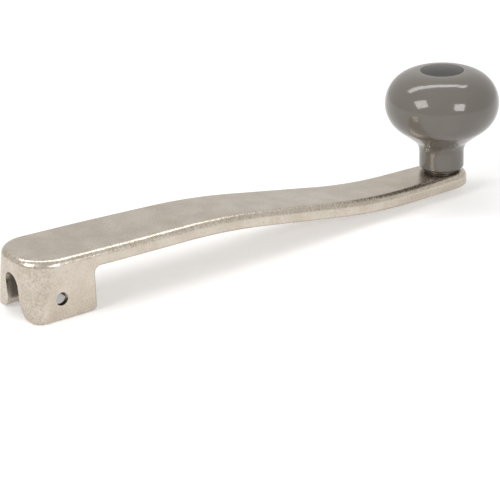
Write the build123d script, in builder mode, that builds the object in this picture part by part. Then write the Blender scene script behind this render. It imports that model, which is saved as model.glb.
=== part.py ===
from build123d import *

import math
import os

# Hand crank: a one-piece cast arm whose forked hub pins across a tongue or shaft,
# carrying a free-turning knob on a shoulder screw at its outer end.
# Origin: centre of the cross-pin bore.  +X runs out along the arm, +Z is up.

# ---- cast arm ----------------------------------------------------------------
throw = 178.2  # cross-pin bore to knob axis

hub_width = 29.7  # across the two ears
pin_to_foot = 7.9  # bore centre down to the flat feet of the ears
pin_to_rear = 13.6  # bore centre back to the square rear of the hub
pin_to_nose = 11.4  # bore centre forward to the nose, at the hub's top
pin_to_toe = 10.4  # bore centre forward to the front of the feet
nose_radius = 13.0  # plan corners of the nose at the top
toe_radius = 4.0  # plan corners of the nose at the feet

hub_crest = 14.25  # top of the nose above the bore
bend_height = 12.4  # top line where the arm starts to drop
bend_reach = 69.0
bend_radius = 252.0
sweep_reach = 139.9  # where the drop levels out again
sweep_radius = 208.0
eye_height = 0.85  # top of the level outer end, above the bore
arm_thickness = 5.7

arm_root = 7.0  # forward end of the arm's own plan, inside the hub's
waist_reach = 24.0  # where the sides start to taper
waist_radius = 500.0
eye_radius = 9.8  # rounded outer end, about the knob axis
rim_radius = 2.6  # soft casting edge round the whole top
keel_radius = 0.9  # casting edge round the hub's rear and along the arm's underside
armpit_radius = 2.4  # hub's rear face into the underside of the arm
heel_radius = 2.0  # hub's rear face into the feet

# ---- inside of the hub -------------------------------------------------------
ear_wall = 2.0
pocket_front = 4.6  # forward of the bore
pocket_rear = 10.3  # behind the bore
pocket_roof = 9.0  # above the bore
pocket_corner = 2.0
pin_bore = 4.76
arch_width = 8.6  # round-topped way out through the nose
arch_crown = 7.6  # crown of the arch above the bore
mouth_flare = 6.0  # the arch's sides swing out to the feet

# ---- knob and its fixings ----------------------------------------------------
washer_thickness = 1.0
washer_diameter = 13.5
end_float = 0.08  # slack of the knob between washer and screw head
running_clearance = 0.06  # radial, knob on shoulder
shoulder_diameter = 8.0
shank_diameter = 6.3  # threaded end, screwed up through the eye
head_diameter = 12.0
head_thickness = 3.4
hex_key = 5.0
hex_depth = 2.0

knob_diameter = 44.0
belly_height = 26.1  # end of the neck to the widest circle
belly_round = 12.6  # section radius of the ball's side
flank_angle = 52.0  # side arc's reach below the widest circle, then a straight flank
shoulder_angle = 61.0  # side arc's reach above it, then the flatter crown
crown_radius = 15.0
neck_diameter = 17.4
neck_chamfer = 0.8
throat_radius = 6.5  # neck into the belly
cap_diameter = 16.4
cap_seat = 2.4  # rim down to the ledge the cap sits on
cap_clearance = 0.05
cap_crown = 0.9  # rise of the cap's dome above the rim
cap_edge = 0.4
head_clearance = 0.6  # round the head and over it

# ---- heights above the bore, built up from the sizes above --------------------
foot = -pin_to_foot
eye_underside = eye_height - arm_thickness
washer_top = eye_height + washer_thickness
neck_end = washer_top + end_float
belly = neck_end + belly_height
cap_pocket_radius = cap_diameter / 2 + cap_clearance
crown_centre_radius = (
    knob_diameter / 2 - belly_round - (crown_radius - belly_round) * math.cos(math.radians(shoulder_angle))
)
crown_centre = belly - (crown_radius - belly_round) * math.sin(math.radians(shoulder_angle))
rim = crown_centre + math.sqrt(crown_radius**2 - (cap_pocket_radius - crown_centre_radius) ** 2)
ledge = rim - cap_seat
head_seat = ledge - head_clearance - head_thickness
counterbore_floor = head_seat - end_float


# ==== crank arm ===============================================================
def outer_edges(faces):
    """Edges that only one of the faces uses: the outline of the whole patch."""
    edges = faces.edges()
    return ShapeList(e for e in edges if sum(e.is_same(other) for other in edges) == 1)


with BuildPart() as crank_arm:
    # Hub block: square feet below, drawn in and rounded to a soft nose above.
    for height, reach, corner in (
        (foot, pin_to_toe, toe_radius),
        (hub_crest, pin_to_nose, nose_radius),
    ):
        with BuildSketch(Plane.XY.offset(height)) as hub_plan:
            with Locations((pin_to_rear, 0)):
                Rectangle(reach + pin_to_rear, hub_width, align=(Align.MAX, Align.CENTER))
            fillet(hub_plan.vertices().group_by(Axis.X)[0], radius=corner)
    loft()

    # Arm seen from above: the hub's width, a long soft waist, a taper and the eye.
    taper = math.atan2(hub_width / 2, throw - waist_reach) - math.asin(
        eye_radius / math.hypot(hub_width / 2, throw - waist_reach)
    )
    eye_tangent = (throw + eye_radius * math.sin(taper), eye_radius * math.cos(taper))
    with BuildSketch(Plane.XY.offset(foot)) as arm_plan:
        with BuildLine():
            flank = FilletPolyline(
                (arm_root, hub_width / 2), (waist_reach, hub_width / 2), eye_tangent, radius=waist_radius
            )
            ThreePointArc(flank @ 1, (throw + eye_radius, 0), (eye_tangent[0], -eye_tangent[1]))
            mirror(flank, about=Plane.XZ)
            Line((arm_root, hub_width / 2), (arm_root, -hub_width / 2))
        make_face()
    extrude(amount=pin_to_foot + hub_crest)

    # Side view: an even strip that drops in an S, with the hub standing below it.
    with BuildSketch(Plane.XZ) as side_view:
        with BuildLine() as strip:
            FilletPolyline(
                (-pin_to_nose - 1, hub_crest),
                (bend_reach, bend_height),
                (sweep_reach, eye_height),
                (throw + 2 * eye_radius, eye_height),
                radius=[bend_radius, sweep_radius],
            )
            offset(amount=arm_thickness, side=Side.RIGHT)
        make_face()
        with Locations((pin_to_rear, foot)):
            Rectangle(
                pin_to_nose + pin_to_rear + 1,
                pin_to_foot + hub_crest - arm_thickness,
                align=(Align.MAX, Align.MIN),
            )
        fillet(side_view.vertices().sort_by_distance((pin_to_rear, foot))[0], radius=heel_radius)
        armpit_height = hub_crest - arm_thickness
        fillet(side_view.vertices().sort_by_distance((pin_to_rear, armpit_height))[0], radius=armpit_radius)
    extrude(amount=hub_width, both=True, mode=Mode.INTERSECT)

    # Soft casting edges: the whole rim of the top, then the lower edges.
    top = crank_arm.faces().filter_by(lambda face: face.normal_at().Z > 0.8)
    fillet(outer_edges(top), radius=rim_radius)
    behind = crank_arm.faces().filter_by(
        lambda face: face.normal_at().Z < -0.5 or face.normal_at().X > 0.99 and face.center().X < throw
    )
    keel = outer_edges(behind).filter_by(lambda edge: edge.center().X > -pin_to_toe + toe_radius)
    fillet(keel, radius=keel_radius)

    # Pocket between the ears, open below.
    with BuildSketch(Plane.XY.offset(foot)) as pocket_plan:
        with Locations((pocket_rear, 0)):
            Rectangle(
                pocket_front + pocket_rear, hub_width - 2 * ear_wall, align=(Align.MAX, Align.CENTER)
            )
        fillet(pocket_plan.vertices(), radius=pocket_corner)
    extrude(amount=pin_to_foot + pocket_roof, mode=Mode.SUBTRACT)

    # Round-topped arch through the nose, flaring out at the feet.
    arch_half = arch_width / 2
    with BuildSketch(Plane.YZ.offset(-pin_to_nose - 1)):
        with BuildLine():
            crown = CenterArc((0, arch_crown - arch_half), arch_half, 0, 90)
            flare = CenterArc((arch_half + mouth_flare, foot + mouth_flare), mouth_flare, 180, 90)
            jamb = Line(crown @ 0, flare @ 0)
            sill = Line(flare @ 1, (0, foot))
            mirror((crown, jamb, flare, sill), about=Plane.YZ)
        make_face()
    extrude(amount=pin_to_nose + 1 - pocket_front + pocket_corner, mode=Mode.SUBTRACT)

    # Cross-pin bore through both ears, and the screw's hole in the eye.
    with BuildSketch(Plane.XZ):
        Circle(pin_bore / 2)
    extrude(amount=hub_width, both=True, mode=Mode.SUBTRACT)
    with Locations((throw, 0, eye_height)):
        Hole(shank_diameter / 2)

crank_arm.part.label = "crank_arm"


# ==== washer under the knob ===================================================
with BuildPart() as base_washer:
    with BuildSketch(Plane.XY.offset(eye_height)):
        with Locations((throw, 0)):
            Circle(washer_diameter / 2)
            Circle(shank_diameter / 2, mode=Mode.SUBTRACT)
    extrude(amount=washer_thickness)
    chamfer(base_washer.edges().filter_by(GeomType.CIRCLE).sort_by(SortBy.RADIUS)[-2:], length=0.15)

base_washer.part.label = "base_washer"


# ==== shoulder screw ==========================================================
# Shank screwed into the eye, shoulder clamped down on the washer, head inside the knob.
with BuildPart() as knob_screw:
    for height, diameter, length in (
        (eye_underside, shank_diameter, washer_top - eye_underside),
        (washer_top, shoulder_diameter, head_seat - washer_top),
        (head_seat, head_diameter, head_thickness),
    ):
        with BuildSketch(Plane.XY.offset(height)):
            with Locations((throw, 0)):
                Circle(diameter / 2)
        extrude(amount=length)
    head_rim = knob_screw.edges().group_by(Axis.Z)[-1]
    chamfer(head_rim, length=0.5)
    with BuildSketch(Plane.XY.offset(head_seat + head_thickness)):
        with Locations((throw, 0)):
            RegularPolygon(hex_key / 2, 6, major_radius=False)
    extrude(amount=-hex_depth, mode=Mode.SUBTRACT)

knob_screw.part.label = "knob_screw"


# ==== knob ====================================================================
knob_axis = Axis((throw, 0, 0), (0, 0, 1))
knob_section = Plane((throw, 0, 0), x_dir=(1, 0, 0), z_dir=(0, -1, 0))

with BuildPart() as knob:
    # Half section: straight neck, hollow throat, flattened ball with an open top.
    with BuildSketch(knob_section) as knob_profile:
        with BuildLine():
            side = CenterArc(
                (knob_diameter / 2 - belly_round, belly), belly_round, -flank_angle, flank_angle + shoulder_angle
            )
            crown = JernArc(side @ 1, side % 1, crown_radius, 90 - shoulder_angle)
            neck_run = (side @ 0).X - neck_diameter / 2
            throat = (side @ 0) - Vector(neck_run, neck_run / math.tan(math.radians(flank_angle)))
            Polyline(side @ 0, throat, (neck_diameter / 2, neck_end), (0, neck_end), (0, (crown @ 1).Y), crown @ 1)
        make_face()
        fillet(knob_profile.vertices().sort_by_distance(throat)[0], radius=throat_radius)
        chamfer(knob_profile.vertices().sort_by_distance((neck_diameter / 2, neck_end))[0], length=neck_chamfer)
    revolve(axis=knob_axis)

    # Running bore, counterbore for the screw's head, and the cap's seat.
    for height, radius in (
        (neck_end, shoulder_diameter / 2 + running_clearance),
        (counterbore_floor, head_diameter / 2 + head_clearance),
        (ledge, cap_pocket_radius),
    ):
        with BuildSketch(Plane.XY.offset(height)):
            with Locations((throw, 0)):
                Circle(radius)
        extrude(amount=knob_diameter, mode=Mode.SUBTRACT)

knob.part.label = "knob"


# ==== cap =====================================================================
with BuildPart() as knob_cap:
    with BuildSketch(knob_section) as cap_profile:
        with BuildLine():
            dome = ThreePointArc(
                (-cap_diameter / 2, rim), (0, rim + cap_crown), (cap_diameter / 2, rim)
            )
            Polyline(dome @ 1, (cap_diameter / 2, ledge), (-cap_diameter / 2, ledge), dome @ 0)
        make_face()
        Rectangle(cap_diameter, 4 * rim, align=(Align.MAX, Align.CENTER), mode=Mode.SUBTRACT)
        fillet(cap_profile.vertices().sort_by_distance((cap_diameter / 2, rim))[0], radius=cap_edge)
    revolve(axis=knob_axis)

knob_cap.part.label = "knob_cap"


# ==== files ===================================================================
os.makedirs("parts", exist_ok=True)
export_step(crank_arm.part, "parts/crank_arm.step")
export_step(base_washer.part, "parts/base_washer.step")
export_step(knob_screw.part, "parts/knob_screw.step")
export_step(knob.part, "parts/knob.step")
export_step(knob_cap.part, "parts/knob_cap.step")
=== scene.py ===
import math

import bpy
from mathutils import Matrix, Vector

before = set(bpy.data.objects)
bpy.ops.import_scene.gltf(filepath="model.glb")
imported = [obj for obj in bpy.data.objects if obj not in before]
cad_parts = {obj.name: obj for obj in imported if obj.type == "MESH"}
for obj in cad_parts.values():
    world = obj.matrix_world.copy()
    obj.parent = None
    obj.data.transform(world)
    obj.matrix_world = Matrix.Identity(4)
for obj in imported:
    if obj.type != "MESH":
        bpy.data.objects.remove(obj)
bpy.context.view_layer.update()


# ---- Crank arm ---------------------------------------------------------------
# One casting: forked hub, flat arm, round eye.  Cast with a lightly pebbled skin,
# tumbled so that the broad faces smooth out, then nickel plated to a warm satin.
MM = 0.001


class Value:
    """A float socket that can be used in arithmetic."""

    def __init__(self, shader, socket):
        self.shader, self.socket = shader, socket

    def _math(self, operation, *terms, clamp=False):
        settings = {"operation": operation, "use_clamp": clamp}
        return self.shader.node("ShaderNodeMath", settings, *terms)["Value"]

    def __add__(self, other):
        return self._math("ADD", self, other)

    def __sub__(self, other):
        return self._math("SUBTRACT", self, other)

    def __rsub__(self, other):
        return self._math("SUBTRACT", other, self)

    def __mul__(self, other):
        return self._math("MULTIPLY", self, other)

    def __abs__(self):
        return self._math("ABSOLUTE", self)

    __radd__ = __add__
    __rmul__ = __mul__

    def clamped(self):
        return self._math("ADD", self, 0.0, clamp=True)

    def smooth_step(self, low, high):
        """0 below low, 1 above high, eased between."""
        ramp = self.shader.node(
            "ShaderNodeMapRange",
            {"interpolation_type": "SMOOTHSTEP"},
            {"Value": self, "From Min": low, "From Max": high},
        )
        return ramp["Result"]


class Shader:
    """The node tree of a material or a world, filled by one method for every kind of node."""

    def __init__(self, owner):
        self.owner = owner
        owner.use_nodes = True
        owner.node_tree.nodes.clear()
        self._place = None

    def node(self, kind, settings=None, *inputs):
        """Adds a node.  Inputs come in order, or as {socket name or number: value or link}."""
        made = self.owner.node_tree.nodes.new(kind)
        for name, value in (settings or {}).items():
            setattr(made, name, value)
        pairs = []
        for position, given in enumerate(inputs):
            if isinstance(given, dict):
                pairs += [(made.inputs[key], value) for key, value in given.items()]
            else:
                pairs.append((made.inputs[position], given))
        for socket, value in pairs:
            if isinstance(value, Value):
                value = value.socket
            if isinstance(value, bpy.types.NodeSocket):
                self.owner.node_tree.links.new(value, socket)
            else:
                socket.default_value = value
        return {
            out.identifier: Value(self, out) if out.type == "VALUE" else out
            for out in made.outputs
        }

    @property
    def place(self):
        """Position on the piece, from one node that the whole tree shares."""
        if self._place is None:
            self._place = self.node("ShaderNodeTexCoord")["Object"]
        return self._place

    def noise(self, per_mm, detail=3.0, roughness=0.55):
        """Noise with this many cells to the millimetre, from 0 to 1 about 0.5."""
        scale = per_mm / MM
        return self.node(
            "ShaderNodeTexNoise",
            None,
            {"Vector": self.place, "Scale": scale, "Detail": detail, "Roughness": roughness},
        )["Fac"]

    def cells(self, per_mm):
        """Distance from the middle of the nearest of this many cells to the millimetre."""
        return self.node(
            "ShaderNodeTexVoronoi", None, {"Vector": self.place, "Scale": per_mm / MM}
        )["Distance"]

    def mix(self, amount, low, high):
        """Colour that goes from low to high as amount goes from 0 to 1."""
        factor, first_colour, second_colour = 0, 6, 7
        return self.node(
            "ShaderNodeMix",
            {"data_type": "RGBA"},
            {factor: amount, first_colour: low, second_colour: high},
        )["Result_Color"]

    def bump(self, height, depth_mm, strength=1.0, under=None):
        """Surface relief: height from 0 to 1 stands this many millimetres deep."""
        inputs = {"Height": height, "Distance": depth_mm * MM, "Strength": strength}
        if under is not None:
            inputs["Normal"] = under
        return self.node("ShaderNodeBump", None, inputs)["Normal"]

    def finish(self, **inputs):
        """Closes the material with one Principled surface and returns it."""
        named = {key.replace("_", " "): value for key, value in inputs.items()}
        surface = self.node("ShaderNodeBsdfPrincipled", None, named)["BSDF"]
        self.node("ShaderNodeOutputMaterial", None, {"Surface": surface})
        return self.owner


def shade(name, material):
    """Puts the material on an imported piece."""
    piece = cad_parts[name]
    piece.data.materials.clear()
    piece.data.materials.append(material)


plate_colour = (0.50, 0.44, 0.365, 1)
plate_bright = (0.60, 0.545, 0.475, 1)
# Darker plate used for painted shade in the pebble's hollows and in the pits.
plate_painted_shade = (0.30, 0.25, 0.20, 1)
# Colour of the painted shade inside the hub's pocket and arch.
cavity_shade_colour = (0.20, 0.175, 0.145, 1)
plate_roughness = 0.27
cavity_roughness = 0.35  # added to the plate's
# Relief, in mm.
ripple_depth = 0.16
pebble_depth = 0.07
grain_depth = 0.024
pit_depth = 0.05
# Inside faces of the hub, in mm from the cross-pin bore, each a hair past the wall.
pocket_front, pocket_rear = -4.65, 10.35
pocket_side, pocket_roof = 12.9, 9.05
arch_mouth, arch_lit = -10.6, -8.6  # daylight fades in between these
arch_side, arch_crown = 4.4, 7.7
wall_fade, arch_fade = 0.2, 0.5

plating = Shader(bpy.data.materials.new("nickel_plated_casting"))
where = plating.node("ShaderNodeSeparateXYZ", None, plating.place)
normal = plating.node("ShaderNodeNewGeometry")["Normal"]
facing = plating.node("ShaderNodeSeparateXYZ", None, normal)
# Broad top and flat sides are tumbled smooth; what curves between them keeps its pebble.
flat_top = facing["Z"].smooth_step(0.90, 0.995)
flat_side = abs(facing["Y"]).smooth_step(0.93, 0.998)
rounded = (1 - flat_top) * (1 - flat_side)


def below(coordinate, wall_mm, fade_mm):
    """1 up to the wall, fading to 0 just past it."""
    return 1 - coordinate.smooth_step(wall_mm * MM, (wall_mm + fade_mm) * MM)


# Inside of the hub's pocket and arch: painted shade, the colour darkened there, and the metal
# made less metallic and rougher.
off_centre = abs(where["Y"])
behind_front = where["X"].smooth_step((pocket_front - wall_fade) * MM, pocket_front * MM)
in_pocket = (
    behind_front
    * below(off_centre, pocket_side, wall_fade)
    * below(where["X"], pocket_rear, wall_fade)
    * below(where["Z"], pocket_roof, wall_fade)
)
in_arch = (
    (1 - behind_front)
    * where["X"].smooth_step(arch_mouth * MM, arch_lit * MM)
    * below(off_centre, arch_side, arch_fade)
    * below(where["Z"], arch_crown, wall_fade)
)
inside = in_pocket + in_arch

grain = plating.noise(1.15, detail=4.0, roughness=0.6)
pebble = plating.noise(0.62, detail=2.5, roughness=0.5)
ripple = plating.noise(0.11, detail=2.0)
broad = plating.noise(0.045, detail=2.0)
pits = 1 - plating.cells(0.33).smooth_step(0.05, 0.16)
pitted = pits * plating.noise(0.08, detail=1.0).smooth_step(0.50, 0.64)

relief = plating.bump(ripple, ripple_depth, 0.55)
relief = plating.bump(pebble * (0.30 + rounded * 0.9), pebble_depth, 1.0, relief)
relief = plating.bump(grain * (0.35 + rounded * 0.65), grain_depth, 1.0, relief)
relief = plating.bump(1 - pitted * 0.5, pit_depth, 0.6, relief)

mottle = (ripple * 0.55 + grain * 0.45).smooth_step(0.34, 0.66)
# Painted shade in the low spots of the pebble on the rounded faces.
pebble_hollow_shade = (rounded * (1 - grain.smooth_step(0.36, 0.58))).clamped()
metal = plating.mix(mottle, plate_colour, plate_bright)
metal = plating.mix(pebble_hollow_shade * 0.30, metal, plate_painted_shade)
# Painted shade in the pits.
metal = plating.mix(pitted * 0.45, metal, plate_painted_shade)
# Painted shade inside the hub's pocket and arch.
metal = plating.mix(inside * 0.92, metal, cavity_shade_colour)
roughness = (
    plate_roughness + (broad - 0.5) * 0.12 + (grain - 0.5) * 0.16 + inside * cavity_roughness
)
casting = plating.finish(
    Base_Color=metal,
    Metallic=1 - inside * 0.35,
    Roughness=roughness.clamped(),
    Normal=relief,
)
shade("crank_arm", casting)


# ---- Base washer and knob screw ----------------------------------------------
# Dark turned steel: the washer spaces the knob off the arm, and the shoulder screw
# passes down through the knob and is driven into the eye.
steel_dark = (0.09, 0.085, 0.08, 1)
steel_light = (0.16, 0.15, 0.14, 1)
steel = Shader(bpy.data.materials.new("dark_turned_steel"))
turning = steel.noise(2.2, detail=2.0)
steel_finish = steel.finish(
    Base_Color=steel.mix(turning, steel_dark, steel_light),
    Metallic=1.0,
    Roughness=0.34 + turning * 0.14,
    Normal=steel.bump(turning, 0.01, 0.5),
)
shade("base_washer", steel_finish)
shade("knob_screw", steel_finish)


# ---- Knob --------------------------------------------------------------------
# Compression moulded in a warm grey resin and buffed to a gloss; it turns freely
# on the shoulder of the screw.
knob_grey = (0.150, 0.134, 0.116, 1)
knob_pale = (0.168, 0.151, 0.132, 1)
moulding = Shader(bpy.data.materials.new("gloss_grey_moulding"))
swirl = moulding.noise(0.05, detail=3.0)
haze = moulding.noise(0.25, detail=3.0)
dust = moulding.noise(3.0, detail=1.0)
knob_finish = moulding.finish(
    Base_Color=moulding.mix(swirl.smooth_step(0.3, 0.7), knob_grey, knob_pale),
    Roughness=0.13 + (haze - 0.5) * 0.07,
    Normal=moulding.bump(dust, 0.002, 0.3, moulding.bump(swirl, 0.12, 0.25)),
    Coat_Weight=0.35,
    Coat_Roughness=0.06,
)
shade("knob", knob_finish)


# ---- Knob cap ----------------------------------------------------------------
# Darker plug, set into the top of the knob over the head of the screw.
cap_dark = (0.022, 0.021, 0.019, 1)
cap_light = (0.042, 0.04, 0.036, 1)
plug = Shader(bpy.data.materials.new("satin_dark_plug"))
speck = plug.noise(0.9, detail=3.0)
plug_finish = plug.finish(
    Base_Color=plug.mix(speck, cap_dark, cap_light),
    Roughness=0.36 + (speck - 0.5) * 0.12,
    Normal=plug.bump(speck, 0.03, 0.5),
)
shade("knob_cap", plug_finish)


# ---- Floor and surroundings --------------------------------------------------
# A plain white sheet under an even sky: the camera and the metal see the sheet
# lifted to white, and it keeps the object's shadow.
floor_side = 3.0
floor_middle = (0.09, 0, -7.95 * MM)
paper_colour = (0.9, 0.9, 0.9, 1)
paper_lift = 0.34
sky_colour = (1.0, 0.99, 0.975, 1)
sky_light = 0.34  # what lights the object
sky_seen = 0.80  # what shows in the metal

bpy.ops.mesh.primitive_plane_add(size=floor_side, location=floor_middle)
floor = bpy.context.object
floor.name = "floor"
paper = Shader(bpy.data.materials.new("white_paper"))
ray = paper.node("ShaderNodeLightPath")
seen = (ray["Is Camera Ray"] + ray["Is Glossy Ray"] + ray["Is Transmission Ray"]).clamped()
diffuse = paper.node("ShaderNodeBsdfDiffuse", None, {"Color": paper_colour})["BSDF"]
white = paper.node("ShaderNodeEmission", None, {"Strength": paper_lift})["Emission"]
lifted = paper.node("ShaderNodeAddShader", None, diffuse, white)["Shader"]
surface = paper.node("ShaderNodeMixShader", None, seen, diffuse, lifted)["Shader"]
paper.node("ShaderNodeOutputMaterial", None, {"Surface": surface})
floor.data.materials.append(paper.owner)

sky = Shader(bpy.data.worlds.new("studio"))
ray = sky.node("ShaderNodeLightPath")
seen = (ray["Is Camera Ray"] + ray["Is Glossy Ray"]).clamped()
strength = sky_light + seen * (sky_seen - sky_light)
glow = sky.node("ShaderNodeBackground", None, {"Color": sky_colour, "Strength": strength})
sky.node("ShaderNodeOutputWorld", None, {"Surface": glow["Background"]})
bpy.context.scene.world = sky.owner


# ---- Lamps -------------------------------------------------------------------
# A long strip overhead and two square windows, one to each side of the camera,
# all aimed at the middle of the crank.
middle = Vector((0.087, 0, 0.005))
level_edge = Vector((0.83, -0.56, 0))  # the lamps' long edges run level along this


def softbox(name, place, width, height, watts, colour=(1, 1, 1)):
    """A rectangular area lamp, placed from the middle of the crank and facing it."""
    lamp = bpy.data.lights.new(name, "AREA")
    lamp.shape = "RECTANGLE"
    lamp.size, lamp.size_y = width, height
    lamp.energy = watts
    lamp.color = colour
    box = bpy.data.objects.new(name, lamp)
    bpy.context.collection.objects.link(box)
    away = Vector(place).normalized()
    side = (level_edge - away * level_edge.dot(away)).normalized()
    turned = Matrix((side, away.cross(side), away)).transposed().to_4x4()
    box.matrix_world = Matrix.Translation(middle + Vector(place)) @ turned


softbox("overhead", (0.10, 0.28, 0.78), 1.20, 0.16, 3.0)
softbox("left_window", (-0.78, -0.06, 0.52), 0.42, 0.42, 3.2, (1.0, 0.96, 0.91))
softbox("right_window", (0.05, -0.85, 0.36), 0.34, 0.34, 2.2)


# ---- Camera ------------------------------------------------------------------
# Long lens, looking down along the crank from beside the hub.
heading = math.radians(33.842)  # from +Y towards +X
tilt = math.radians(22.536)  # down from level
roll = math.radians(1.971)
distance = 0.700
aim = Vector((0.08686, 0, -0.00971))
sensor_mm, lens_mm = 36, 136.8

level_right = Vector((math.cos(heading), -math.sin(heading), 0))
ahead = Vector((math.sin(heading), math.cos(heading), 0))
forward = ahead * math.cos(tilt) - Vector((0, 0, math.sin(tilt)))
upright = ahead * math.sin(tilt) + Vector((0, 0, math.cos(tilt)))
camera_right = level_right * math.cos(roll) - upright * math.sin(roll)
camera_up = level_right * math.sin(roll) + upright * math.cos(roll)
lens = bpy.data.cameras.new("camera")
lens.sensor_width = sensor_mm
lens.lens = lens_mm
camera = bpy.data.objects.new("camera", lens)
bpy.context.collection.objects.link(camera)
turned = Matrix((camera_right, camera_up, -forward)).transposed().to_4x4()
camera.matrix_world = Matrix.Translation(aim - forward * distance) @ turned
bpy.context.scene.camera = camera
bpy.context.scene.view_settings.view_transform = "Standard"
